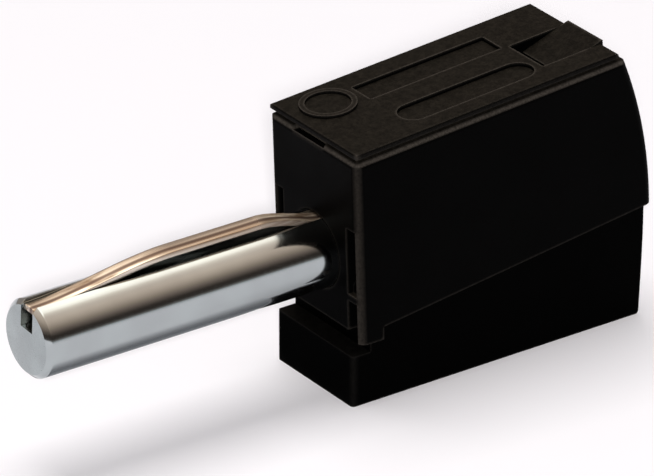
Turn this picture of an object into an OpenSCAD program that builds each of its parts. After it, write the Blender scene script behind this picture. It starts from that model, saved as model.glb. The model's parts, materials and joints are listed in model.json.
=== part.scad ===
// Banana plug for 4 mm sockets with a spring clamp for one conductor.
// The pin points along -X, the conductor enters from +X, and the plug stands on its base.

/* [Contact pin] */
// Diameter of the contact pin
pin_d = 4; // [3.9:0.02:4.1]
// Length of the pin in front of the cover
pin_len = 16.8; // [14:0.2:20]
// Height of the pin's axis above the resting face
pin_z = 7.4; // [7.2:0.1:7.8]
// Bevel round the pin's tip
tip_bevel = 0.25; // [0.1:0.05:0.5]
// Diameter of the pin's head behind the cover's front wall
head_d = 5; // [4.6:0.1:5]
// Length of the head
head_len = 3.2; // [2.8:0.1:3.3]
// Diameter of the riveted tail
tail_d = 2.4; // [2:0.1:2.6]
// Diameter of the rivet head
rivet_d = 2.8; // [2.6:0.05:2.8]
// Height of the rivet head
rivet_t = 0.4; // [0.3:0.05:0.6]

/* [Contact leaf] */
// Width of the slot along the pin
slot_w = 1; // [0.8:0.05:1.2]
// Depth of the slot below the pin's surface
slot_depth = 1.45; // [1.4:0.05:1.6]
// Roll of the slot about the pin's axis, in degrees
slot_roll = -4; // [-15:1:15]
// Thickness of the leaf
leaf_t = 0.3; // [0.2:0.05:0.4]
// Height of the leaf's crown above the pin's surface
leaf_rise = 0.65; // [0.4:0.05:0.7]
// Depth of the leaf's ends below the pin's surface
leaf_sink = 0.25; // [0.2:0.05:0.35]
// Distance from the tip to the leaf's front end
leaf_setback = 0.3; // [0.2:0.1:1]
// Length of the leaf's front ramp
leaf_ramp = 8; // [6.5:0.1:8.5]
// Length of the leaf's rear ramp
leaf_fall = 4.3; // [3.5:0.1:5]
// Gap between the leaf's rear end and the slot's end
leaf_gap = 0.2; // [0.1:0.05:0.4]
// Wall left behind the slot's end, inside the front wall
slot_rest = 0.1; // [0.05:0.05:0.3]

/* [Cover] */
// Width of the cover
cover_w = 7.35; // [7.2:0.05:7.8]
// Height of the plug, up to the crest of the blade guide
cover_h = 15.2; // [15:0.05:15.9]
// Length of the cover at the lower end of its back
cover_len = 17.9; // [17.5:0.1:18.6]
// Rise of the top towards the back, in degrees
top_pitch = 4.35; // [3.5:0.05:5.5]
// Forward lean of the front, in degrees
front_lean = 2; // [0:0.5:3]
// Distance the back leans in at the top
back_lean = 1.85; // [1.4:0.05:2.1]
// Bulge of the back
back_bulge = 0.4; // [0.3:0.01:0.55]
// Thickness of the side walls
side_wall = 0.45; // [0.4:0.05:0.6]
// Thickness of the front wall
front_wall = 1; // [0.8:0.05:1.1]
// Thickness of the top
top_wall = 1.3; // [1:0.1:1.6]
// Thickness of the back wall
back_wall = 1.3; // [1:0.1:1.5]
// Radius of the outer edges
edge_r = 0.45; // [0.35:0.05:0.55]
// Depth of the shoulder below the top plate
rim_h = 0.4; // [0.35:0.01:0.45]
// Distance of the top plate's rim in from the sides and the front
rim_inset = 0.05; // [0.03:0.01:0.1]
// Distance of the rim in from the back
rim_back = 0.45; // [0.4:0.05:0.7]
// Thickness of the rim
rim_t = 0.25; // [0.2:0.01:0.3]
// Depth of the groove under the rim
groove_in = 0.35; // [0.25:0.05:0.4]
// Radius of the top plate's edges
plate_r = 0.1; // [0.05:0.05:0.2]
// Depth of the plate's neck in the cover
plate_root = 0.2; // [0.1:0.05:0.3]
// Height of the front wall's lower edge
front_edge_z = 4; // [3.9:0.05:4.3]
// Height of the front corner tabs
tab_z = 3.5; // [3.3:0.05:3.8]
// Length of the front corner tabs
tab_len = 1.5; // [1.3:0.1:2]
// Height of the skirt just behind the tabs
skirt_front_z = 4.2; // [4:0.05:4.5]
// Height of the skirt at the back
skirt_back_z = 6.3; // [6.2:0.05:6.6]
// Room between the spring and the block above it
keeper_room = 0.5; // [0.4:0.05:0.7]
// Distance of that block in front of the tool slot
keeper_back = 0.4; // [0.3:0.05:0.8]

/* [Cover openings] */
// Width of the tool slot
tool_slot_w = 2.8; // [2.4:0.1:3]
// Offset of the tool slot from the middle
tool_slot_y = -0.8; // [-1:0.1:0]
// Distance from the front to the tool slot
tool_slot_x = 12.3; // [12:0.1:12.6]
// Opening of the tool slot along the cover
tool_slot_gap = 0.8; // [0.7:0.1:1.1]
// Depth of the tool slot
tool_slot_depth = 3.9; // [3.6:0.1:4.2]
// Depth of the ramp where it meets the slot
ramp_depth = 0.6; // [0.5:0.05:1]
// Height of the blade guide's crest above the top plate
guide_h = 0.15; // [0.1:0.05:0.3]
// Length of that crest
crest_len = 0.1; // [0.05:0.05:0.2]
// Distance of the latch windows from the middle
window_y = 2.65; // [2.5:0.05:2.8]
// Width of the latch windows
window_w = 0.72; // [0.6:0.02:0.8]
// Height of the latch windows' lower edge
window_z = 6; // [5.9:0.05:6.2]
// Height of the latch windows
window_h = 3.6; // [3:0.1:3.8]
// Height of the catch bar below each window
catch_h = 0.35; // [0.3:0.05:0.5]
// Distance of the latch hooks' noses behind the front
nose_x = 0.35; // [0.2:0.05:0.5]
// Height of the hooks' noses
nose_h = 0.4; // [0.3:0.05:0.6]
// Height of the hooks
hook_h = 1.4; // [1:0.1:1.6]
// Length of the slot in the front top edge
edge_slot_len = 2.6; // [2:0.1:3]
// Offset of that slot from the middle
edge_slot_y = 0.4; // [0:0.1:1]
// Width of that slot
edge_slot_w = 0.25; // [0.2:0.05:0.5]
// Depth of that slot
edge_slot_depth = 1.05; // [0.6:0.05:1.2]

/* [Cover markings] */
// Outer diameter of the raised ring
ring_d = 2.9; // [2.4:0.1:3]
// Width of the ring's line
ring_line = 0.3; // [0.2:0.05:0.4]
// Distance of the ring from the front
ring_x = 2.1; // [2:0.1:2.4]
// Offset of the ring from the middle
ring_y = 1.6; // [1.4:0.05:1.65]
// Height of raised marks
mark_h = 0.15; // [0.1:0.01:0.25]
// Start of the marking fields
field_x = 4; // [3.9:0.1:4.5]
// End of the marking fields
field_end = 11.9; // [11:0.1:12]
// Width of the round-ended field
field_w = 1.7; // [1.4:0.1:1.8]
// Offset of the round-ended field
field_y = -1.75; // [-1.8:0.05:-1.6]
// Width of the straight field
panel_w = 1.6; // [1.2:0.1:1.7]
// Offset of the straight field
panel_y = 1.5; // [1.2:0.1:1.6]
// Depth of the fields
field_depth = 0.2; // [0.1:0.02:0.3]

/* [Base] */
// Clearance between the base and the cover
shell_clear = 0.03; // [0.02:0.01:0.06]
// Gap between the cover's skirt and the base's back ledge
seam_gap = 0.08; // [0.05:0.01:0.15]
// Step of the base's back in from the cover
back_step = 0.1; // [0.05:0.05:0.3]
// Taper of the base's back down to the resting face
back_taper = 0.3; // [0:0.05:0.5]
// Height of the front foot
foot_h = 2.75; // [2.5:0.05:3]
// Reach of the foot in front of the cover's front
foot_reach = 0.05; // [0:0.05:0.2]
// Thickness of the floor
floor_t = 1.5; // [1.2:0.1:1.5]
// Width of the clamp chamber
chamber_w = 4; // [3.9:0.05:4.2]
// Distance from the front to the chamber's back wall
chamber_end = 14.7; // [14.6:0.1:14.9]
// Width of the ledges that carry the current bar
ledge_w = 0.6; // [0.4:0.05:0.7]
// Diameter of the conductor entry
entry_d = 3.8; // [3.6:0.1:3.9]
// Height of the conductor entry
entry_z = 3.4; // [3.35:0.05:3.5]
// Widening of the entry's mouth
entry_flare = 0.4; // [0.2:0.05:0.5]
// Radius of the base's upright edges and heel
base_r = 0.2; // [0.15:0.05:0.5]

/* [Wire clamp] */
// Thickness of the current bar
bar_t = 1.2; // [1:0.05:1.2]
// Height of the current bar's underside
bar_z = 4.5; // [4.3:0.05:4.5]
// Inner radius of the current bar's bend
bar_bend = 0.3; // [0.2:0.05:0.3]
// Width of the tongue in the clamp
tongue_w = 2.3; // [2:0.1:2.4]
// Gap between the tongue's end and the chamber's back wall
tongue_gap = 0.5; // [0.3:0.1:0.8]
// Length of the bar's wide part past the spring's bearing
wide_margin = 0.6; // [0.4:0.1:1]
// Thickness of the clamp spring
spring_t = 0.45; // [0.35:0.05:0.5]
// Width of the clamp spring
spring_w = 3.6; // [3.4:0.05:3.65]
// Width of the window in the spring
eye_w = 2.6; // [2.5:0.05:2.8]
// Radius of the spring's loop
loop_r = 2; // [1.8:0.05:2]
// Gap between the rivet head and the spring's loop
loop_gap = 0.2; // [0.15:0.05:0.4]
// Length of the leg that bears on the bar
bearing_len = 1.1; // [0.9:0.1:1.3]
// Distance of the spring's window leg in front of the chamber's back wall
leg_gap = 1.6; // [1.5:0.05:1.8]
// Radius of the bend above the spring's window
bend_r = 0.8; // [0.6:0.05:1]
// Height of the crossbar below the tongue
cross_h = 0.9; // [0.8:0.05:1]

/* [Fits] */
// Clearance of the leaf in its slot, each side
leaf_clear = 0.05; // [0.03:0.01:0.08]
// Clearance round the pin in the front wall and the bar
pin_clear = 0.04; // [0.02:0.01:0.06]
// Clearance between the spring and the current bar
clamp_clear = 0.03; // [0.02:0.01:0.05]
// Clearance of the current bar in the chamber, each side
bar_clear = 0.05; // [0.03:0.01:0.08]

/* [Hidden] */
$fn = 64;
tiny = 0.02;
over = 1;
far = 60;
pin_r = pin_d / 2;
plug_mid = (cover_len - pin_len) / 2;
half_w = cover_w / 2;
inner_half = half_w - side_wall;
base_half = inner_half - shell_clear;
base_w = 2 * base_half;
front_in = front_wall + shell_clear;
head_end = front_in + head_len;
tail_end = head_end + bar_t;

// Outline of the cover in the side view
function front_x(z) = -(z - pin_z) * tan(front_lean);
// Highest point is the rear end of the blade guide's crest
crest_back = cover_len - back_lean - rim_back + crest_len;
function top_z(x) = cover_h - guide_h / cos(top_pitch) + (x - crest_back) * tan(top_pitch);
function shoulder_z(x) = top_z(x) - rim_h / cos(top_pitch);
back_top = [cover_len - back_lean, shoulder_z(cover_len - back_lean)];
front_top_z = (shoulder_z(0) + pin_z * tan(front_lean) * tan(top_pitch)) / (1 + tan(front_lean) * tan(top_pitch));
front_top = [front_x(front_top_z), front_top_z];
// Stations along the top plate, from above the front edge
plate_end = (back_top[0] - front_top[0]) / cos(top_pitch) - rim_back;
crest_end = (crest_back - front_top[0]) / cos(top_pitch) + guide_h * tan(top_pitch);
plate_w = cover_w - 2 * rim_inset;
plate_t = rim_h + plate_root;
function skirt_z(x) = skirt_front_z + (x - tab_len) / (cover_len - tab_len) * (skirt_back_z - skirt_front_z);
back_low = [cover_len, skirt_back_z];
back_chord = norm(back_top - back_low);
back_r = (back_chord * back_chord / 4 + back_bulge * back_bulge) / (2 * back_bulge);
back_normal = [back_top[1] - back_low[1], back_low[0] - back_top[0]] / back_chord;
drum_axis = (back_top + back_low) / 2 + back_normal * (back_bulge - back_r);

// Outward normals of the front, the top and the upper end of the back, in the side view
front_normal = [-cos(front_lean), -sin(front_lean)];
top_normal = [-sin(top_pitch), cos(top_pitch)];
back_top_normal = (back_top - drum_axis) / back_r;
// Centre of a round of radius r between two faces that meet at a corner
function round_centre(corner, n1, n2, r) = corner - r * (n1 + n2) / (1 + n1 * n2);

// Inner face of the cover's back wall, in the side view
back_slope = (back_low[0] - back_top[0]) / (back_top[1] - back_low[1]);
function back_in_x(z, inset) = back_low[0] - (z - back_low[1]) * back_slope - (back_wall + inset) / back_normal[0];
function top_in_z(x, inset) = top_z(x) - (top_wall + inset) / cos(top_pitch);
// Corner between the inner faces of the top and the back
function corner_x(inset) = back_in_x(top_in_z(0, inset), inset) / (1 + back_slope * tan(top_pitch));
function in_corner(inset) = [corner_x(inset), top_in_z(corner_x(inset), inset)];

// Clamp layout
bar_top = bar_z + bar_t;
bearing_z = bar_top + clamp_clear + spring_t / 2;
loop_x = tail_end + rivet_t + loop_gap + loop_r + spring_t / 2;
loop_z = bearing_z + loop_r;
spring_top = loop_z + loop_r + spring_t / 2;
leg_x = chamber_end - leg_gap;
tongue_end = chamber_end - tongue_gap;
bearing_end = loop_x + bearing_len;
bend_x = leg_x - bend_r;
bend_z = loop_z + loop_r - bend_r;
cross_top = bar_z - clamp_clear;
bar_w = chamber_w - 2 * bar_clear;
wide_end = bearing_end + wide_margin;

// Base
base_end = cover_len - back_step;
function rim_z(x) = skirt_z(x) - seam_gap;
rim_x = back_in_x(skirt_back_z, shell_clear);
entry_mouth = base_end - back_taper;

// Leaf stations along the pin
leaf_front = leaf_setback - pin_len;
slot_end = front_wall - slot_rest;
leaf_back = slot_end - leaf_gap;
leaf_steps = 48;

// Extrudes an outline drawn in the side view (x, z) across the plug, centred on y
module across(width, y = 0) {
    translate([0, y + width / 2, 0])
        rotate([90, 0, 0])
            linear_extrude(width)
                children();
}

// Rectangle with its corner at the origin and the two corners at its far end rounded
module round_end_rect(length, width, r) {
    translate([0, -width / 2])
        square([length - r, width]);
    translate([0, r - width / 2])
        square([length, width - 2 * r]);
    for (side = [-1, 1])
        translate([length - r, side * (width / 2 - r)])
            circle(r);
}

// Ring sector between two angles, for bends in strip
module bend(r, t, start, sweep) {
    reach = 2 * (r + t);
    intersection() {
        difference() {
            circle(r + t / 2);
            circle(r - t / 2);
        }
        polygon(concat([[0, 0]], [for (k = [0:4]) reach * [cos(start + sweep * k / 4), sin(start + sweep * k / 4)]]));
    }
}

// Moves from the middle of the front to the part's own origin
module placed() {
    translate([-plug_mid, 0, 0])
        children();
}

// Works in the plane of the inclined top plate, with its height at zero there
module on_top() {
    translate([front_top[0], 0, top_z(front_top[0])])
        rotate([0, -top_pitch, 0])
            children();
}

// Side outline with rounded front-top and back-top edges
module cover_side() {
    front_c = round_centre(front_top, front_normal, top_normal, edge_r);
    back_c = round_centre(back_top, back_top_normal, top_normal, edge_r);
    back_end = back_c + edge_r * back_top_normal;
    polygon([
        [front_x(0), 0],
        front_c + edge_r * front_normal,
        front_c + edge_r * top_normal,
        back_c + edge_r * top_normal,
        back_end,
        [cover_len + over, back_end[1]],
        [cover_len + over, 0]
    ]);
    for (c = [front_c, back_c])
        translate(c)
            circle(edge_r);
}

// Whole outer form of the cover before its skirt is trimmed
module cover_form() {
    intersection() {
        across(cover_w)
            cover_side();
        // curved back with rounded upright edges
        translate([drum_axis[0], 0, drum_axis[1]])
            rotate([90, 0, 0])
                rotate_extrude($fn = 180)
                    round_end_rect(back_r, cover_w, edge_r);
        // leaning front with rounded upright edges
        translate([0, 0, pin_z])
            rotate([0, -front_lean, 0])
                translate([far, 0, -far / 2])
                    linear_extrude(far)
                        rotate(180)
                            round_end_rect(far, cover_w, edge_r);
        // inclined shoulder with rounded long edges
        on_top()
            translate([-far / 2, 0, -far - rim_h])
                rotate([90, 0, 90])
                    linear_extrude(far * 2)
                        rotate(90)
                            round_end_rect(far, cover_w, edge_r);
    }
}

// Plate on the top: its rim stands out over a groove round the neck that carries it
module top_plate() {
    plate_len = plate_end - rim_inset;
    on_top() {
        intersection() {
            across(plate_w)
                translate([rim_inset + plate_len / 2, -rim_t])
                    rotate(90)
                        round_end_rect(rim_t, plate_len, plate_r);
            translate([rim_inset, 0, -rim_t])
                rotate([90, 0, 90])
                    linear_extrude(plate_len)
                        rotate(90)
                            round_end_rect(rim_t, plate_w, plate_r);
        }
        translate([groove_in, groove_in - half_w, -plate_t])
            cube([plate_end - groove_in, cover_w - 2 * groove_in, plate_t - rim_t / 2]);
    }
}

// Block behind the tool slot that rises to a crest and guides the blade
module blade_guide() {
    on_top()
        across(tool_slot_w, tool_slot_y)
            polygon([
                [tool_slot_x, -plate_t],
                [tool_slot_x, guide_h],
                [crest_end, guide_h],
                [crest_end, -plate_t]
            ]);
}

// Hollow of the cover, open below
module cover_hollow() {
    across(2 * inner_half)
        polygon([
            [front_wall, -tiny],
            [front_wall, top_in_z(front_wall, 0)],
            in_corner(0),
            [back_in_x(0, 0), -tiny]
        ]);
}

// Material below the skirt line, which is taken off the cover
module below_skirt() {
    across(cover_w + over)
        polygon([
            [-far, -over],
            [-far, tab_z],
            [tab_len, tab_z],
            [tab_len, skirt_z(tab_len)],
            [cover_len, skirt_z(cover_len)],
            [far, skirt_z(cover_len)],
            [far, -over]
        ]);
    across(2 * window_y)
        polygon([[-far, 0], [-far, front_edge_z], [front_wall + tiny, front_edge_z], [front_wall + tiny, 0]]);
}

// Latch window and the open notch below its catch bar
module latch_window() {
    translate([-over, window_y, window_z])
        cube([over + front_wall + tiny, window_w, window_h]);
    translate([-over, window_y - tiny, 0])
        cube([over + front_wall + tiny, window_w + tiny, window_z - catch_h]);
}

// Block under the top that holds the pin's head and the bar down and leaves the spring its room
module keeper() {
    low = pin_z + head_d / 2 + shell_clear;
    rear = tool_slot_x - keeper_back;
    step = tail_end + rivet_t;
    across(chamber_w - 2 * shell_clear)
        polygon([
            [front_wall - tiny, low],
            [step, low],
            [step, spring_top + keeper_room],
            [rear, spring_top + keeper_room],
            [rear, top_z(rear) - top_wall / 2],
            [front_wall - tiny, top_z(front_wall) - top_wall / 2]
        ]);
}

// Slot for the screwdriver, with the ramp that leads the blade into it
module tool_slot() {
    slot_back = tool_slot_x + tool_slot_gap;
    crest_front = crest_end - crest_len;
    on_top()
        across(tool_slot_w, tool_slot_y)
            polygon([
                [tool_slot_x, over],
                [tool_slot_x, -tool_slot_depth],
                [slot_back, -tool_slot_depth],
                [slot_back, -ramp_depth],
                [crest_front, guide_h],
                [crest_front, over]
            ]);
}

// Narrow slot cut into the front top edge
module edge_slot() {
    translate([front_top[0], edge_slot_y, front_top[1]])
        rotate([0, 45, 0])
            translate([-over, -edge_slot_len / 2, -edge_slot_w / 2])
                cube([over + edge_slot_depth, edge_slot_len, edge_slot_w]);
}

module housing_cover() {
    color([0.06, 0.06, 0.065])
    placed() {
        difference() {
            union() {
                difference() {
                    cover_form();
                    cover_hollow();
                }
                keeper();
                top_plate();
                blade_guide();
            }
            below_skirt();
            translate([-over, 0, pin_z])
                rotate([0, 90, 0])
                    cylinder(r = pin_r + pin_clear, h = front_wall + 2 * over);
            latch_window();
            mirror([0, 1, 0])
                latch_window();
            tool_slot();
            edge_slot();
            // marking fields sunk into the top
            on_top() {
                for (x = [field_x + field_w / 2, field_end - field_w / 2])
                    translate([x, field_y, -field_depth])
                        cylinder(d = field_w, h = over);
                translate([field_x + field_w / 2, field_y - field_w / 2, -field_depth])
                    cube([field_end - field_x - field_w, field_w, over]);
                translate([field_x, panel_y - panel_w / 2, -field_depth])
                    cube([field_end - field_x, panel_w, over]);
            }
        }
        on_top()
            translate([ring_x, ring_y, -tiny])
                difference() {
                    cylinder(d = ring_d, h = mark_h + tiny);
                    translate([0, 0, -over])
                        cylinder(d = ring_d - 2 * ring_line, h = 2 * over);
                }
    }
}

// Side outline of the base: foot, groove, body inside the cover and ledge under its back wall
module base_side() {
    back_dir = atan2(back_taper, rim_z(base_end));
    heel_normal = [cos(back_dir), -sin(back_dir)];
    heel = round_centre([base_end - back_taper, 0], heel_normal, [0, -1], base_r);
    polygon([
        [-foot_reach, 0],
        [-foot_reach, foot_h],
        [front_in, foot_h],
        [front_in, top_in_z(front_in, shell_clear)],
        in_corner(shell_clear),
        [rim_x, rim_z(rim_x)],
        [base_end, rim_z(base_end)],
        heel + base_r * heel_normal,
        heel - [0, base_r]
    ]);
    translate(heel)
        circle(base_r);
}

// Plan of the base with rounded upright edges
module base_plan() {
    middle = (base_end - foot_reach) / 2;
    for (turn = [0, 180])
        translate([middle, 0])
            rotate(turn)
                round_end_rect((base_end + foot_reach) / 2, base_w, base_r);
}

// Hook that catches on the bar below a latch window
module latch_hook() {
    hook_in = window_y + shell_clear;
    across(base_half - hook_in, (base_half + hook_in) / 2)
        polygon([
            [front_in + tiny, window_z + shell_clear],
            [nose_x, window_z + shell_clear],
            [nose_x, window_z + nose_h],
            [front_in + tiny, window_z + hook_h]
        ]);
}

module housing_base() {
    color([0.05, 0.05, 0.055])
    placed() {
        difference() {
            union() {
                intersection() {
                    across(base_w)
                        base_side();
                    linear_extrude(far)
                        base_plan();
                }
                latch_hook();
                mirror([0, 1, 0])
                    latch_hook();
            }
            // clamp chamber, open at the top, with ledges under the current bar
            translate([head_end, -chamber_w / 2, bar_z])
                cube([chamber_end - head_end, chamber_w, far]);
            translate([wide_end, -chamber_w / 2, floor_t])
                cube([chamber_end - wide_end, chamber_w, far]);
            translate([loop_x, ledge_w - chamber_w / 2, floor_t])
                cube([chamber_end - loop_x, chamber_w - 2 * ledge_w, far]);
            // seat for the pin's head, open upwards
            translate([front_in - tiny, 0, pin_z])
                rotate([0, 90, 0])
                    cylinder(d = head_d + 2 * pin_clear, h = head_len + 2 * tiny);
            translate([front_in - tiny, -head_d / 2 - pin_clear, pin_z])
                cube([head_len + 2 * tiny, head_d + 2 * pin_clear, far]);
            // conductor entry with a flared mouth
            translate([chamber_end - tiny, 0, entry_z])
                rotate([0, 90, 0]) {
                    cylinder(d = entry_d, h = far);
                    translate([0, 0, entry_mouth - chamber_end - entry_flare])
                        cylinder(d1 = entry_d, d2 = entry_d + 6 * entry_flare, h = 3 * entry_flare);
                }
            tool_slot();
        }
    }
}

module contact_pin() {
    color([0.82, 0.82, 0.83])
    placed()
        translate([0, 0, pin_z])
            difference() {
                rotate([0, 90, 0])
                    rotate_extrude()
                        polygon([
                            [0, -pin_len],
                            [pin_r - tip_bevel, -pin_len],
                            [pin_r, tip_bevel - pin_len],
                            [pin_r, front_in],
                            [head_d / 2, front_in],
                            [head_d / 2, head_end],
                            [tail_d / 2, head_end],
                            [tail_d / 2, tail_end],
                            [rivet_d / 2, tail_end],
                            [rivet_d / 2 - rivet_t / 2, tail_end + rivet_t],
                            [0, tail_end + rivet_t]
                        ]);
                // slot for the leaf, open at the tip
                rotate([-slot_roll, 0, 0])
                    translate([-pin_len - over, -slot_w / 2, pin_r - slot_depth])
                        cube([slot_end + pin_len + over, slot_w, pin_r]);
            }
}

// Height of the leaf's upper face over the pin's axis, x along the pin
function ease(t) = t * t * (3 - 2 * t);
function leaf_lift(x) = x < leaf_front + leaf_ramp ? ease((x - leaf_front) / leaf_ramp)
    : x > leaf_back - leaf_fall ? ease((leaf_back - x) / leaf_fall)
    : 1;
function leaf_top(x) = pin_r - leaf_sink + leaf_lift(x) * (leaf_rise + leaf_sink);
function leaf_x(k) = leaf_front + (leaf_back - leaf_front) * k / leaf_steps;

module contact_leaf() {
    color([0.72, 0.6, 0.48])
    placed()
        translate([0, 0, pin_z])
            rotate([-slot_roll, 0, 0])
                across(slot_w - 2 * leaf_clear)
                    polygon(concat(
                        [for (k = [0:leaf_steps]) [leaf_x(k), leaf_top(leaf_x(k))]],
                        [for (k = [leaf_steps:-1:0]) [leaf_x(k), leaf_top(leaf_x(k)) - leaf_t]]
                    ));
}

module current_bar() {
    bend_mid = bar_bend + bar_t / 2;
    bend_out = bar_bend + bar_t;
    color([0.75, 0.72, 0.68])
    placed()
        difference() {
            union() {
                // flange, bend and the wide part that lies on the ledges
                across(bar_w) {
                    translate([head_end, bar_z + bend_out])
                        square([bar_t, pin_z + head_d / 2 - bar_z - bend_out]);
                    translate([head_end + bend_out, bar_z + bend_out])
                        bend(bend_mid, bar_t, 180, 90);
                    translate([head_end + bend_out, bar_z])
                        square([wide_end - head_end - bend_out, bar_t]);
                }
                translate([wide_end - tiny, -tongue_w / 2, bar_z])
                    cube([tongue_end - wide_end + tiny, tongue_w, bar_t]);
            }
            translate([head_end - over, 0, pin_z])
                rotate([0, 90, 0])
                    cylinder(d = tail_d + 2 * pin_clear, h = bar_t + 2 * over);
        }
}

module clamp_spring() {
    color([0.7, 0.71, 0.72])
    placed()
        difference() {
            across(spring_w) {
                translate([loop_x, bearing_z - spring_t / 2])
                    square([bearing_len, spring_t]);
                translate([loop_x, loop_z])
                    bend(loop_r, spring_t, 90, 180);
                translate([loop_x, loop_z + loop_r - spring_t / 2])
                    square([bend_x - loop_x, spring_t]);
                translate([bend_x, bend_z])
                    bend(bend_r, spring_t, 0, 90);
                translate([leg_x - spring_t / 2, cross_top - cross_h])
                    square([spring_t, bend_z - cross_top + cross_h]);
            }
            // window that the tongue and the conductor pass through
            translate([leg_x - over, -eye_w / 2, cross_top])
                cube([2 * over, eye_w, bend_z - cross_top]);
        }
}

housing_cover();
housing_base();
contact_pin();
contact_leaf();
current_bar();
clamp_spring();
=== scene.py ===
import json
import math
import bmesh
import bpy
from mathutils import Matrix, Vector

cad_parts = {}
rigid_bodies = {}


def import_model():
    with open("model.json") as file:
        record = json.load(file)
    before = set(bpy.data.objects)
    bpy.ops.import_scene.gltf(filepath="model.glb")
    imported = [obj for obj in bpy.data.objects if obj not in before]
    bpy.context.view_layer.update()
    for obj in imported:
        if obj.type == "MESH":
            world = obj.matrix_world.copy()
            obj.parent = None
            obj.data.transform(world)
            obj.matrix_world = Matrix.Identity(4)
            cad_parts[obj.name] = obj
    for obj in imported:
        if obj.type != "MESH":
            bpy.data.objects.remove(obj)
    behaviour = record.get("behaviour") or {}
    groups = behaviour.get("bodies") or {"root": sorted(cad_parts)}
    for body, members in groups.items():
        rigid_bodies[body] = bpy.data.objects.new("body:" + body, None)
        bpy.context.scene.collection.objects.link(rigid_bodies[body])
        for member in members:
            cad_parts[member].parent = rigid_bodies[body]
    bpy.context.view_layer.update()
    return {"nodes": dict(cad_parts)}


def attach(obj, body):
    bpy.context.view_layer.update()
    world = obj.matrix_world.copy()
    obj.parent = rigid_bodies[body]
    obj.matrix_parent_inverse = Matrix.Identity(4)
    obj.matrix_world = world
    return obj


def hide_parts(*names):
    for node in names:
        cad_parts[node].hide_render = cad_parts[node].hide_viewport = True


for startObject in list(bpy.data.objects):
    bpy.data.objects.remove(startObject)
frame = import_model()
nodes = frame["nodes"]
mm = 0.001
print("frame loaded:", ", ".join(sorted(nodes)))


def hexColour(code):  # sRGB hex to linear RGBA
    parts = [int(code[k:k + 2], 16) / 255 for k in (1, 3, 5)]
    return [c / 12.92 if c <= 0.04045 else ((c + 0.055) / 1.055) ** 2.4 for c in parts] + [1.0]


def addNode(tree, kind, settings=None, **sockets):  # a socket takes a value, or a (node, output) pair
    node = tree.nodes.new(kind)
    for key, value in (settings or {}).items():
        setattr(node, key, value)
    for key, value in sockets.items():
        name = int(key[1:]) if key[0] == "_" else key.replace("_", " ")
        if isinstance(value, tuple) and hasattr(value[0], "outputs"):
            tree.links.new(value[0].outputs[value[1]], node.inputs[name])
        else:
            node.inputs[name].default_value = value
    return node


def newMaterial(name):
    material = bpy.data.materials.new(name)
    material.use_nodes = True
    material.node_tree.nodes.clear()
    return material, material.node_tree


def perMm(size):  # noise scale that gives features of this size in mm
    return 1 / (size * mm)


def setRamp(node, stops):
    elements = node.color_ramp.elements
    for element, (place, colour) in zip((elements[0], elements[1]), (stops[0], stops[-1])):
        element.position = place
        element.color = colour
    for place, colour in stops[1:-1]:
        elements.new(place).color = colour


# camera, fitted to the photograph
shot = {
    "aim": (0.592, 0.648, 7.358),  # mm
    "back": (-0.5151, -0.7306, 0.4482),  # from the aim towards the camera
    "distance": 350.0,  # mm
    "focal": 7164.5,  # pixels
    "width": 654,  # pixels
    "sensor": 36.0,  # mm
    "clip": (0.01, 20.0),  # m
}


def makeCamera(s):
    data = bpy.data.cameras.new("plugCamera")
    data.sensor_fit = "HORIZONTAL"
    data.sensor_width = s["sensor"]
    data.lens = s["focal"] / s["width"] * s["sensor"]
    data.clip_start, data.clip_end = s["clip"]
    camera = bpy.data.objects.new("plugCamera", data)
    bpy.context.scene.collection.objects.link(camera)
    back = Vector(s["back"]).normalized()
    camera.location = (Vector(s["aim"]) + back * s["distance"]) * mm
    camera.rotation_euler = (-back).to_track_quat("-Z", "Y").to_euler()
    bpy.context.scene.camera = camera


makeCamera(shot)
print("camera set")

# studio: pale paper, soft boxes, and a room that is dark near the horizon on the camera's side
studio = {
    "paper": (0.87, 0.853, 0.889, 1.0),  # comes out nearly neutral in the warm light
    "floorSize": 12.0,  # m
    "flag": {  # painted shadow: dark card under the pin that only shiny surfaces see, darkening the paper in the pin's reflection for a firm lower edge
        "start": (-15.0, -6.0),  # mm
        "end": (-0.7, 9.0),  # mm
        "height": 0.05,  # mm
        "fade": (-5.0, 0.0),  # mm across, from open to dark
        "shadeTone": (0.12, 0.13, 0.15, 1.0),
        "share": 0.8,
    },
    "boxes": {
        "topBox": {"size": 0.4, "place": (0.0, 0.12, 0.65), "watts": 2.6},  # m, m, W
        "frontBox": {"size": 0.05, "place": (-0.41, -0.58, 0.36), "watts": 6.0},  # by the camera
    },
    "boxTint": (1.0, 0.98, 0.95),
    "fill": (0.23, 0.228, 0.234, 1.0),  # light from the rest of the room on matt surfaces
    "background": (1.0, 1.0, 1.0, 1.0),
    "overhead": (0.0, 0.259, 0.966),  # middle of the bright ceiling, leaned back from the camera
    "room": [  # what shiny surfaces see, from straight below to the middle of the ceiling
        (0.0, (0.92, 0.93, 0.95, 1)),
        (0.395, (0.92, 0.93, 0.95, 1)),
        (0.415, (0.22, 0.2, 0.18, 1)),
        (0.45, (0.075, 0.062, 0.053, 1)),
        (0.48, (0.05, 0.039, 0.032, 1)),
        (0.53, (0.068, 0.053, 0.043, 1)),
        (0.604, (0.25, 0.19, 0.155, 1)),
        (0.68, (0.52, 0.4, 0.31, 1)),
        (0.758, (0.86, 0.67, 0.53, 1)),
        (0.824, (1.1, 0.87, 0.7, 1)),
        (0.875, (1.18, 0.96, 0.79, 1)),
        (0.905, (1.5, 1.27, 1.05, 1)),
        (0.922, (2.3, 2.05, 1.75, 1)),
        (0.94, (2.8, 2.6, 2.3, 1)),
        (1.0, (2.8, 2.6, 2.3, 1)),
    ],
    "wall": {  # brighter wall behind the plug
        "colour": (0.42, 0.36, 0.32, 1.0),
        "side": (0.576, 0.817, 0.0),
        "begin": (0.3, 0.6),  # along that side, from nothing to full
        "top": (0.6, 0.48),  # upright part of the direction, from nothing to full
    },
}


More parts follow.
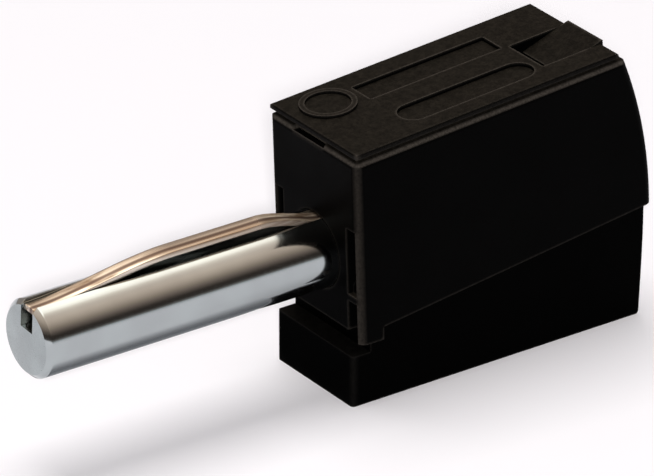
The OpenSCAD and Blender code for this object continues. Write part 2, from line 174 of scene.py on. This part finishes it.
def makeSheet(name, start, end, height):  # flat sheet between two corners, in m
    bm = bmesh.new()
    bmesh.ops.create_grid(bm, x_segments=1, y_segments=1, size=0.5)
    bmesh.ops.scale(bm, verts=bm.verts, vec=(end[0] - start[0], end[1] - start[1], 1))
    bmesh.ops.translate(bm, verts=bm.verts, vec=((start[0] + end[0]) / 2, (start[1] + end[1]) / 2, height))
    mesh = bpy.data.meshes.new(name)
    bm.to_mesh(mesh)
    bm.free()
    sheet = bpy.data.objects.new(name, mesh)
    bpy.context.scene.collection.objects.link(sheet)
    return sheet


def makeFloor(s):
    half = s["floorSize"] / 2
    floor = makeSheet("studioFloor", (-half, -half), (half, half), 0.0)
    material, tree = newMaterial("matte paper sweep")
    paper = addNode(tree, "ShaderNodeBsdfDiffuse", Color=s["paper"])
    addNode(tree, "ShaderNodeOutputMaterial", Surface=(paper, "BSDF"))
    floor.data.materials.append(material)


# painted shadow: a dark card seen only in reflections, standing in for the pin's shadow on the paper
# beneath it
def makeFlag(s):
    start, end = ([c * mm for c in s[key]] for key in ("start", "end"))
    flag = makeSheet("studioFlag", start, end, s["height"] * mm)
    flag.visible_camera = False
    flag.visible_diffuse = False
    flag.visible_shadow = False
    material, tree = newMaterial("painted shadow flag")
    place = addNode(tree, "ShaderNodeTexCoord")
    parts = addNode(tree, "ShaderNodeSeparateXYZ", Vector=(place, "Object"))
    fade = addNode(tree, "ShaderNodeMapRange", _0=(parts, "Y"), _1=s["fade"][0] * mm, _2=s["fade"][1] * mm,
                   _4=s["share"])
    shadeTone = addNode(tree, "ShaderNodeBsdfDiffuse", Color=s["shadeTone"])
    gauze = addNode(tree, "ShaderNodeBsdfTransparent")
    mixed = addNode(tree, "ShaderNodeMixShader", _0=(fade, 0), _1=(gauze, "BSDF"), _2=(shadeTone, "BSDF"))
    addNode(tree, "ShaderNodeOutputMaterial", Surface=(mixed, "Shader"))
    flag.data.materials.append(material)


def makeLamps(s):
    for name, box in s["boxes"].items():
        lampData = bpy.data.lights.new(name, "AREA")
        lampData.shape = "SQUARE"
        lampData.size = box["size"]
        lampData.energy = box["watts"]
        lampData.color = s["boxTint"]
        lamp = bpy.data.objects.new(name, lampData)
        lamp.location = box["place"]
        lamp.rotation_euler = (-Vector(box["place"])).to_track_quat("-Z", "Y").to_euler()
        lamp.visible_glossy = False  # shiny surfaces see the room's ceiling instead
        bpy.context.scene.collection.objects.link(lamp)


def makeRoom(s):
    world = bpy.data.worlds.new("studioRoom")
    world.use_nodes = True
    tree = world.node_tree
    tree.nodes.clear()
    place = addNode(tree, "ShaderNodeTexCoord")
    parts = addNode(tree, "ShaderNodeSeparateXYZ", Vector=(place, "Generated"))
    lean = addNode(tree, "ShaderNodeVectorMath", {"operation": "DOT_PRODUCT"}, _0=(place, "Generated"),
                   _1=s["overhead"])
    height = addNode(tree, "ShaderNodeMapRange", _0=(lean, "Value"), _1=-1.0, _2=1.0)
    ramp = addNode(tree, "ShaderNodeValToRGB", Fac=(height, 0))
    setRamp(ramp, s["room"])
    wall = s["wall"]
    towards = addNode(tree, "ShaderNodeVectorMath", {"operation": "DOT_PRODUCT"}, _0=(place, "Generated"),
                      _1=wall["side"])
    behind = addNode(tree, "ShaderNodeMapRange", _0=(towards, "Value"), _1=wall["begin"][0],
                     _2=wall["begin"][1])
    low = addNode(tree, "ShaderNodeMapRange", _0=(parts, "Z"), _1=wall["top"][0], _2=wall["top"][1])
    wallPart = addNode(tree, "ShaderNodeMath", {"operation": "MULTIPLY"}, _0=(behind, 0), _1=(low, 0))
    room = addNode(tree, "ShaderNodeMix", {"data_type": "RGBA"}, _0=(wallPart, 0), _6=(ramp, "Color"),
                   _7=wall["colour"])
    ray = addNode(tree, "ShaderNodeLightPath")
    seen = addNode(tree, "ShaderNodeMix", {"data_type": "RGBA"}, _0=(ray, "Is Glossy Ray"), _6=s["fill"],
                   _7=(room, 2))
    clear = addNode(tree, "ShaderNodeMix", {"data_type": "RGBA"}, _0=(ray, "Is Camera Ray"), _6=(seen, 2),
                    _7=s["background"])
    sky = addNode(tree, "ShaderNodeBackground", Color=(clear, 2), Strength=1.0)
    addNode(tree, "ShaderNodeOutputWorld", Surface=(sky, "Background"))
    bpy.context.scene.world = world


makeFloor(studio)
makeFlag(studio["flag"])
makeLamps(studio)
makeRoom(studio)
bpy.context.scene.view_settings.view_transform = "Standard"
print("studio set")

# values that the cover and the base share
moulding = {
    "grain": 0.12,  # mm, drawn coarser than the mould's own grain so that it shows
    "mottle": 0.35,  # mm, patches of dust and painted sheen
    "cloud": 3.0,  # mm, patches of gloss
    "bump": 0.2,
    "depth": 0.02,  # mm, of the grain
    "paintedEdgeHighlight": (0.85, 0.45),  # openness of an edge where the painted edge highlight starts and where it is full
    "uneven": (0.5, 1.0),  # least and most of what the grain leaves of the painted edge highlight and of the dust and painted sheen
    "patchy": (0.55, 1.0),  # least and most dust and painted sheen in the patches
    "upward": (0.7, 0.97),  # upright part of the normal where dust and painted sheen start and where they are full
    "core": 0.3,  # full share of a painted highlight line's half width
    "corner": (0.4, 0.1),  # mm in from the faces, where the painted highlight of an upright edge starts and is full
}
finishes = {
    "cover": {
        # edge and topEdge are painted edge highlight tones; the dust colour is dust and painted sheen on
        # faces that look up
        **moulding, "colour": "#020202", "dustAndSheen": "#1d1a16", "edge": "#1e1c1a", "topEdge": "#403b36",
        "gloss": 0.012, "rough": (0.42, 0.54), "edgeHighlightReach": 0.2,  # mm
        # painted highlight line along the cover's shoulder
        "ridge": {"height": 13.3, "slope": 0.0761, "half": 0.12, "side": 3.0, "front": -0.3,
                  "tone": "#37332f"},  # mm
        # painted highlight along the upright front edge
        "upright": {"lean": 0.0355, "front": -0.288, "side": 3.675, "share": 0.45},  # mm
    },
    # painted shade: a darker copy of the cover's finish, for the base that stands in the shade under the
    # cover's skirt
    "base": {
        **moulding, "colour": "#010101", "dustAndSheen": "#0d0c0b", "edge": "#131211", "topEdge": "#161514",
        "gloss": 0.007, "rough": (0.44, 0.56), "edgeHighlightReach": 0.16,  # mm
        "ridge": {"height": 0.0, "slope": 0.0, "half": 0.1, "side": 3.0, "front": -0.3,
                  "tone": "#161514"},  # mm
        "upright": {"lean": 0.0, "front": -0.6, "side": 3.25, "share": 0.4},  # mm
    },
    "plating": {  # bright and cool, with faint turning marks
        "colour": "#acb3b5", "stain": "#a6acae", "rough": (0.09, 0.14), "stretch": (1.0, 0.1, 0.1),
        "grain": 0.06, "cloud": 2.5, "bump": 0.015,
    },
    "turnedEnd": {  # greyer and softer where the end was faced
        "colour": "#a4acae", "stain": "#9ca3a5", "rough": (0.2, 0.3), "stretch": (1.0, 1.0, 1.0),
        "grain": 0.1, "cloud": 1.2, "bump": 0.03,
    },
    "strip": {  # warm, streaked along its length
        "colour": "#d2c9bd", "stain": "#867361", "rough": (0.14, 0.24), "stretch": (0.02, 1.0, 1.0),
        "grain": 0.3, "cloud": 2.0, "bump": 0.05, "streaks": True,
        "mattEnd": {"from": -4.4, "to": -3.2, "rough": 0.6},  # mm
        "drawn": {"across": (0.0, 0.9976, 0.0698), "middle": 0.408, "half": 0.17, "core": 0.3, "share": 0.9,
                  "tone": "#56423a"},  # mm
    },
    "bar": {  # pale and soft
        "colour": "#c8c2b8", "stain": "#bfb5a6", "rough": (0.22, 0.32), "stretch": (0.1, 1.0, 1.0),
        "grain": 0.1, "cloud": 2.0, "bump": 0.03,
    },
    "spring": {  # plain grey, with marks from the rolls
        "colour": "#b9babb", "stain": "#adaeb0", "rough": (0.2, 0.3), "stretch": (1.0, 0.1, 1.0),
        "grain": 0.1, "cloud": 2.0, "bump": 0.03,
    },
}


# moulded polyamide: a fine spark-eroded grain breaks up a weak gloss, the edges get a painted highlight
# and the faces that look up get dust and a painted sheen
def mouldedPolyamide(name, s):
    material, tree = newMaterial(name)
    place = addNode(tree, "ShaderNodeTexCoord")
    where = addNode(tree, "ShaderNodeSeparateXYZ", Vector=(place, "Object"))
    side = addNode(tree, "ShaderNodeMath", {"operation": "ABSOLUTE"}, _0=(where, "Y"))
    grain = addNode(tree, "ShaderNodeTexNoise", Vector=(place, "Object"), Scale=perMm(s["grain"]),
                    Detail=3.0)
    cloud = addNode(tree, "ShaderNodeTexNoise", Vector=(place, "Object"), Scale=perMm(s["cloud"]),
                    Detail=2.0)
    mottle = addNode(tree, "ShaderNodeTexNoise", Vector=(place, "Object"), Scale=perMm(s["mottle"]),
                     Detail=2.0)
    rough = addNode(tree, "ShaderNodeMapRange", _0=(cloud, 0), _1=0.3, _2=0.7, _3=s["rough"][0],
                    _4=s["rough"][1])
    uneven = addNode(tree, "ShaderNodeMapRange", _0=(grain, 0), _1=0.3, _2=0.6, _3=s["uneven"][0],
                     _4=s["uneven"][1])
    patchy = addNode(tree, "ShaderNodeMapRange", _0=(mottle, 0), _1=0.35, _2=0.65, _3=s["patchy"][0],
                     _4=s["patchy"][1])

    # painted highlight along all sharp edges, found by ambient occlusion from inside; paler where an edge
    # looks up
    edge = addNode(tree, "ShaderNodeAmbientOcclusion", {"inside": True, "samples": 8, "only_local": True},
                   Distance=s["edgeHighlightReach"] * mm)
    paintedEdgeHighlight = addNode(tree, "ShaderNodeMapRange", _0=(edge, "AO"), _1=s["paintedEdgeHighlight"][0], _2=s["paintedEdgeHighlight"][1])
    patch = addNode(tree, "ShaderNodeMath", {"operation": "MULTIPLY"}, _0=(paintedEdgeHighlight, 0), _1=(uneven, 0))

    # painted highlight line round the outside, along the cover's shoulder or the edge that the base stands
    # on
    ridge = s["ridge"]
    level = addNode(tree, "ShaderNodeVectorMath", {"operation": "DOT_PRODUCT"}, _0=(place, "Object"),
                    _1=(-ridge["slope"], 0.0, 1.0))
    off = addNode(tree, "ShaderNodeMath", {"operation": "SUBTRACT"}, _0=(level, "Value"),
                  _1=ridge["height"] * mm)
    away = addNode(tree, "ShaderNodeMath", {"operation": "ABSOLUTE"}, _0=(off, 0))
    line = addNode(tree, "ShaderNodeMapRange", _0=(away, 0), _1=ridge["half"] * mm,
                   _2=ridge["half"] * s["core"] * mm)
    atSide = addNode(tree, "ShaderNodeMath", {"operation": "GREATER_THAN"}, _0=(side, 0),
                     _1=ridge["side"] * mm)
    atFront = addNode(tree, "ShaderNodeMath", {"operation": "LESS_THAN"}, _0=(where, "X"),
                      _1=ridge["front"] * mm)
    outer = addNode(tree, "ShaderNodeMath", {"operation": "MAXIMUM"}, _0=(atSide, 0), _1=(atFront, 0))
    outerLine = addNode(tree, "ShaderNodeMath", {"operation": "MULTIPLY"}, _0=(line, 0), _1=(outer, 0))

    # painted highlight along the upright front edges
    upright = s["upright"]
    ahead = addNode(tree, "ShaderNodeVectorMath", {"operation": "DOT_PRODUCT"}, _0=(place, "Object"),
                    _1=(1.0, 0.0, upright["lean"]))
    nearFront = addNode(tree, "ShaderNodeMapRange", _0=(ahead, "Value"),
                        _1=(upright["front"] + s["corner"][0]) * mm,
                        _2=(upright["front"] + s["corner"][1]) * mm)
    nearSide = addNode(tree, "ShaderNodeMapRange", _0=(side, 0),
                       _1=(upright["side"] - s["corner"][0]) * mm,
                       _2=(upright["side"] - s["corner"][1]) * mm)
    corner = addNode(tree, "ShaderNodeMath", {"operation": "MULTIPLY"}, _0=(nearFront, 0), _1=(nearSide, 0))
    cornerLine = addNode(tree, "ShaderNodeMath", {"operation": "MULTIPLY"}, _0=(corner, 0),
                         _1=upright["share"])
    lines = addNode(tree, "ShaderNodeMath", {"operation": "MAXIMUM"}, _0=(outerLine, 0), _1=(cornerLine, 0))
    paintedLines = addNode(tree, "ShaderNodeMath", {"operation": "MULTIPLY"}, _0=(lines, 0), _1=(uneven, 0))

    # dust and painted sheen on what looks up: faces that look up are painted paler, in patches
    facing = addNode(tree, "ShaderNodeSeparateXYZ", Vector=(place, "Normal"))
    upward = addNode(tree, "ShaderNodeMapRange", _0=(facing, "Z"), _1=s["upward"][0], _2=s["upward"][1])
    laid = addNode(tree, "ShaderNodeMath", {"operation": "MULTIPLY"}, _0=(upward, 0), _1=(uneven, 0))
    dustAndSheenMask = addNode(tree, "ShaderNodeMath", {"operation": "MULTIPLY"}, _0=(laid, 0), _1=(patchy, 0))

    dustedAndSheened = addNode(tree, "ShaderNodeMix", {"data_type": "RGBA"}, _0=(dustAndSheenMask, 0),
                    _6=hexColour(s["colour"]), _7=hexColour(s["dustAndSheen"]))
    edgeTone = addNode(tree, "ShaderNodeMix", {"data_type": "RGBA"}, _0=(upward, 0),
                       _6=hexColour(s["edge"]), _7=hexColour(s["topEdge"]))
    edged = addNode(tree, "ShaderNodeMix", {"data_type": "RGBA"}, _0=(patch, 0), _6=(dustedAndSheened, 2),
                    _7=(edgeTone, 2))
    colour = addNode(tree, "ShaderNodeMix", {"data_type": "RGBA"}, _0=(paintedLines, 0), _6=(edged, 2),
                     _7=hexColour(ridge["tone"]))
    bump = addNode(tree, "ShaderNodeBump", Strength=s["bump"], Distance=s["depth"] * mm, Height=(grain, 0))
    body = addNode(tree, "ShaderNodeBsdfPrincipled", Base_Color=(colour, 2), Roughness=(rough, 0),
                   Specular_IOR_Level=s["gloss"], Normal=(bump, 0))
    addNode(tree, "ShaderNodeOutputMaterial", Surface=(body, "BSDF"))
    return material


markDepth = 0.01  # mm


# plated or rolled metal: bright, with fine marks along or round the piece that stretch the reflections
def markedMetal(name, s):
    material, tree = newMaterial(name)
    place = addNode(tree, "ShaderNodeTexCoord")
    stretch = addNode(tree, "ShaderNodeMapping", Vector=(place, "Object"), Scale=s["stretch"])
    marks = addNode(tree, "ShaderNodeTexNoise", Vector=(stretch, 0), Scale=perMm(s["grain"]), Detail=3.0)
    cloud = addNode(tree, "ShaderNodeTexNoise", Vector=(place, "Object"), Scale=perMm(s["cloud"]),
                    Detail=2.0)
    rough = addNode(tree, "ShaderNodeMapRange", _0=(marks, 0), _1=0.3, _2=0.7, _3=s["rough"][0],
                    _4=s["rough"][1])
    spread = addNode(tree, "ShaderNodeMapRange", _0=(marks if s.get("streaks") else cloud, 0), _1=0.35,
                     _2=0.65)
    colour = addNode(tree, "ShaderNodeMix", {"data_type": "RGBA"}, _0=(spread, 0),
                     _6=hexColour(s["colour"]), _7=hexColour(s["stain"]))
    end = s.get("mattEnd")
    if end:  # the end that was bent is left matt
        along = addNode(tree, "ShaderNodeSeparateXYZ", Vector=(place, "Object"))
        ended = addNode(tree, "ShaderNodeMapRange", _0=(along, "X"), _1=end["from"] * mm, _2=end["to"] * mm)
        rough = addNode(tree, "ShaderNodeMix", {"data_type": "FLOAT"}, _0=(ended, 0), _2=(rough, 0),
                        _3=end["rough"])
    drawn = s.get("drawn")
    if drawn:  # dark brown line along the strip, a little to the near side of its middle
        across = addNode(tree, "ShaderNodeVectorMath", {"operation": "DOT_PRODUCT"}, _0=(place, "Object"),
                         _1=drawn["across"])
        off = addNode(tree, "ShaderNodeMath", {"operation": "SUBTRACT"}, _0=(across, "Value"),
                      _1=drawn["middle"] * mm)
        away = addNode(tree, "ShaderNodeMath", {"operation": "ABSOLUTE"}, _0=(off, 0))
        line = addNode(tree, "ShaderNodeMapRange", _0=(away, 0), _1=drawn["half"] * mm,
                       _2=drawn["half"] * drawn["core"] * mm, _4=drawn["share"])
        colour = addNode(tree, "ShaderNodeMix", {"data_type": "RGBA"}, _0=(line, 0), _6=(colour, 2),
                         _7=hexColour(drawn["tone"]))
    bump = addNode(tree, "ShaderNodeBump", Strength=s["bump"], Distance=markDepth * mm, Height=(marks, 0))
    body = addNode(tree, "ShaderNodeBsdfPrincipled", Base_Color=(colour, 2), Metallic=1.0,
                   Roughness=(rough, 0),
                   Normal=(bump, 0))
    addNode(tree, "ShaderNodeOutputMaterial", Surface=(body, "BSDF"))
    return material


plating = markedMetal("nickel-plated brass", finishes["plating"])
turnedEnd = markedMetal("nickel-plated turned end", finishes["turnedEnd"])
stripMetal = markedMetal("rolled copper alloy strip", finishes["strip"])
dress = {
    "housing_cover": mouldedPolyamide("moulded polyamide cover", finishes["cover"]),
    "housing_base": mouldedPolyamide("moulded polyamide base", finishes["base"]),
    "current_bar": markedMetal("tinned copper", finishes["bar"]),
    "clamp_spring": markedMetal("rolled spring steel", finishes["spring"]),
}
for name, material in dress.items():
    nodes[name].data.materials.clear()
    nodes[name].data.materials.append(material)
print("materials set")


def linkMesh(name, bm, materials):
    bmesh.ops.remove_doubles(bm, verts=bm.verts, dist=1e-8)
    bmesh.ops.recalc_face_normals(bm, faces=bm.faces)
    mesh = bpy.data.meshes.new(name)
    bm.to_mesh(mesh)
    bm.free()
    for material in materials:
        mesh.materials.append(material)
    piece = bpy.data.objects.new(name, mesh)
    bpy.context.scene.collection.objects.link(piece)
    return piece


def settle(piece, sharp):  # puts the modifiers' result into the mesh, sharp in degrees
    view = bpy.context.evaluated_depsgraph_get()
    done = bpy.data.meshes.new_from_object(piece.evaluated_get(view))
    piece.modifiers.clear()
    old = piece.data
    piece.data = done
    bpy.data.meshes.remove(old)
    done.shade_smooth()
    done.set_sharp_from_angle(angle=math.radians(sharp))


# turned contact pin, all sizes in mm along and round its axis
pinSizes = {
    "axis": 7.4,  # height
    "roll": -4.0,  # degrees, slot turned towards the camera
    "profile": [(-17.35, 0.0), (-17.35, 1.75), (-17.1, 2.0), (-17.0, 2.0), (0.4, 2.0), (0.48, 2.0),
                (0.48, 2.5), (3.68, 2.5), (3.68, 1.2), (4.88, 1.2), (4.88, 1.4), (5.28, 1.2), (5.28, 0.0)],
    "steps": 192,
    "slotWidth": 1.0,
    "slotFloor": 0.55,
    "slotEnd": 0.35,
    "over": 1.0,  # reach of the cutter past the tip and the surface
    "edge": 0.035,
    "bevelFrom": 35,  # degrees
    "sharp": 25,  # degrees
}


def onPin(s):  # from the axis and the slot's own direction to the part's frame
    turn = Matrix.Rotation(math.radians(-s["roll"]), 4, "X")
    return Matrix.Translation((0, 0, s["axis"] * mm)) @ turn


def makePin(s):
    bm = bmesh.new()
    line = [bm.verts.new((x * mm, 0, r * mm)) for x, r in s["profile"]]
    edges = [bm.edges.new(pair) for pair in zip(line, line[1:])]
    bmesh.ops.spin(bm, geom=line + edges, cent=(0, 0, 0), axis=(1, 0, 0), dvec=(0, 0, 0), angle=2 * math.pi,
                   steps=s["steps"], use_merge=True)
    bmesh.ops.remove_doubles(bm, verts=bm.verts, dist=1e-7)
    bmesh.ops.translate(bm, verts=bm.verts, vec=(0, 0, s["axis"] * mm))
    pin = linkMesh("contactPin", bm, [plating, turnedEnd])
    tip = s["profile"][0][0]
    start = tip - s["over"]
    top = s["profile"][3][1] + s["over"]
    bm = bmesh.new()
    bmesh.ops.create_cube(bm, size=1.0)
    sides = ((s["slotEnd"] - start) * mm, s["slotWidth"] * mm, (top - s["slotFloor"]) * mm)
    bmesh.ops.scale(bm, verts=bm.verts, vec=sides)
    middle = ((s["slotEnd"] + start) / 2 * mm, 0, (top + s["slotFloor"]) / 2 * mm)
    bmesh.ops.translate(bm, verts=bm.verts, vec=middle)
    bmesh.ops.transform(bm, matrix=onPin(s), verts=bm.verts)
    cutter = linkMesh("slotCutter", bm, [plating])
    cut = pin.modifiers.new("slot", "BOOLEAN")
    cut.operation = "DIFFERENCE"
    cut.solver = "EXACT"
    cut.object = cutter
    soft = pin.modifiers.new("broken edges", "BEVEL")
    soft.width = s["edge"] * mm
    soft.segments = 2
    soft.limit_method = "ANGLE"
    soft.angle_limit = math.radians(s["bevelFrom"])
    settle(pin, s["sharp"])
    cutterMesh = cutter.data
    bpy.data.objects.remove(cutter)
    bpy.data.meshes.remove(cutterMesh)
    for face in pin.data.polygons:  # faced end
        face.material_index = 1 if face.normal.x < -0.98 and face.center.x < tip * mm + 1e-5 else 0
    return pin


# bowed contact leaf in the pin's slot, sizes in mm
leafSizes = {
    "front": -17.2,
    "back": 0.15,
    "width": 0.9,
    "thick": 0.3,
    "rest": 1.75,  # upper face of its ends over the pin's axis
    "crown": 2.65,  # upper face of its crown
    "ramp": 8.0,
    "fall": 4.3,
    "steps": 120,  # faces along it
    "stripes": 8,  # faces across it
    "edge": 0.035,
    "arch": 0.02,  # drop of its faces towards the long edges
    "sharp": 40,  # degrees
}


def leafLift(x, s):
    part = min((x - s["front"]) / s["ramp"], (s["back"] - x) / s["fall"], 1.0)
    return part * part * (3 - 2 * part)


def makeLeaf(s):
    bm = bmesh.new()
    bmesh.ops.create_grid(bm, x_segments=s["steps"], y_segments=s["stripes"], size=0.5)
    for vert in bm.verts:  # bends the flat strip into its bow
        x = s["front"] + (s["back"] - s["front"]) * (vert.co.x + 0.5)
        top = s["rest"] + leafLift(x, s) * (s["crown"] - s["rest"]) - s["arch"] * (2 * vert.co.y) ** 2
        vert.co = Vector((x, s["width"] * vert.co.y, top)) * mm
    under = bmesh.ops.extrude_face_region(bm, geom=bm.faces[:])["geom"]
    bmesh.ops.translate(bm, verts=[part for part in under if isinstance(part, bmesh.types.BMVert)],
                        vec=(0, 0, -s["thick"] * mm))
    bmesh.ops.recalc_face_normals(bm, faces=bm.faces)
    sharp = [e for e in bm.edges if e.calc_face_angle() > 1.0]
    bmesh.ops.bevel(bm, geom=sharp, offset=s["edge"] * mm, offset_type="OFFSET", affect="EDGES", segments=3,
                    profile=0.5, material=-1)
    bmesh.ops.transform(bm, matrix=onPin(pinSizes), verts=bm.verts)
    leaf = linkMesh("contactLeaf", bm, [stripMetal])
    settle(leaf, s["sharp"])
    return leaf


pin = makePin(pinSizes)
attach(pin, "housing")
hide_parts("contact_pin")
leaf = makeLeaf(leafSizes)
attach(leaf, "leaf")
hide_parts("contact_leaf")
print("pin and leaf built:", len(pin.data.polygons), len(leaf.data.polygons))
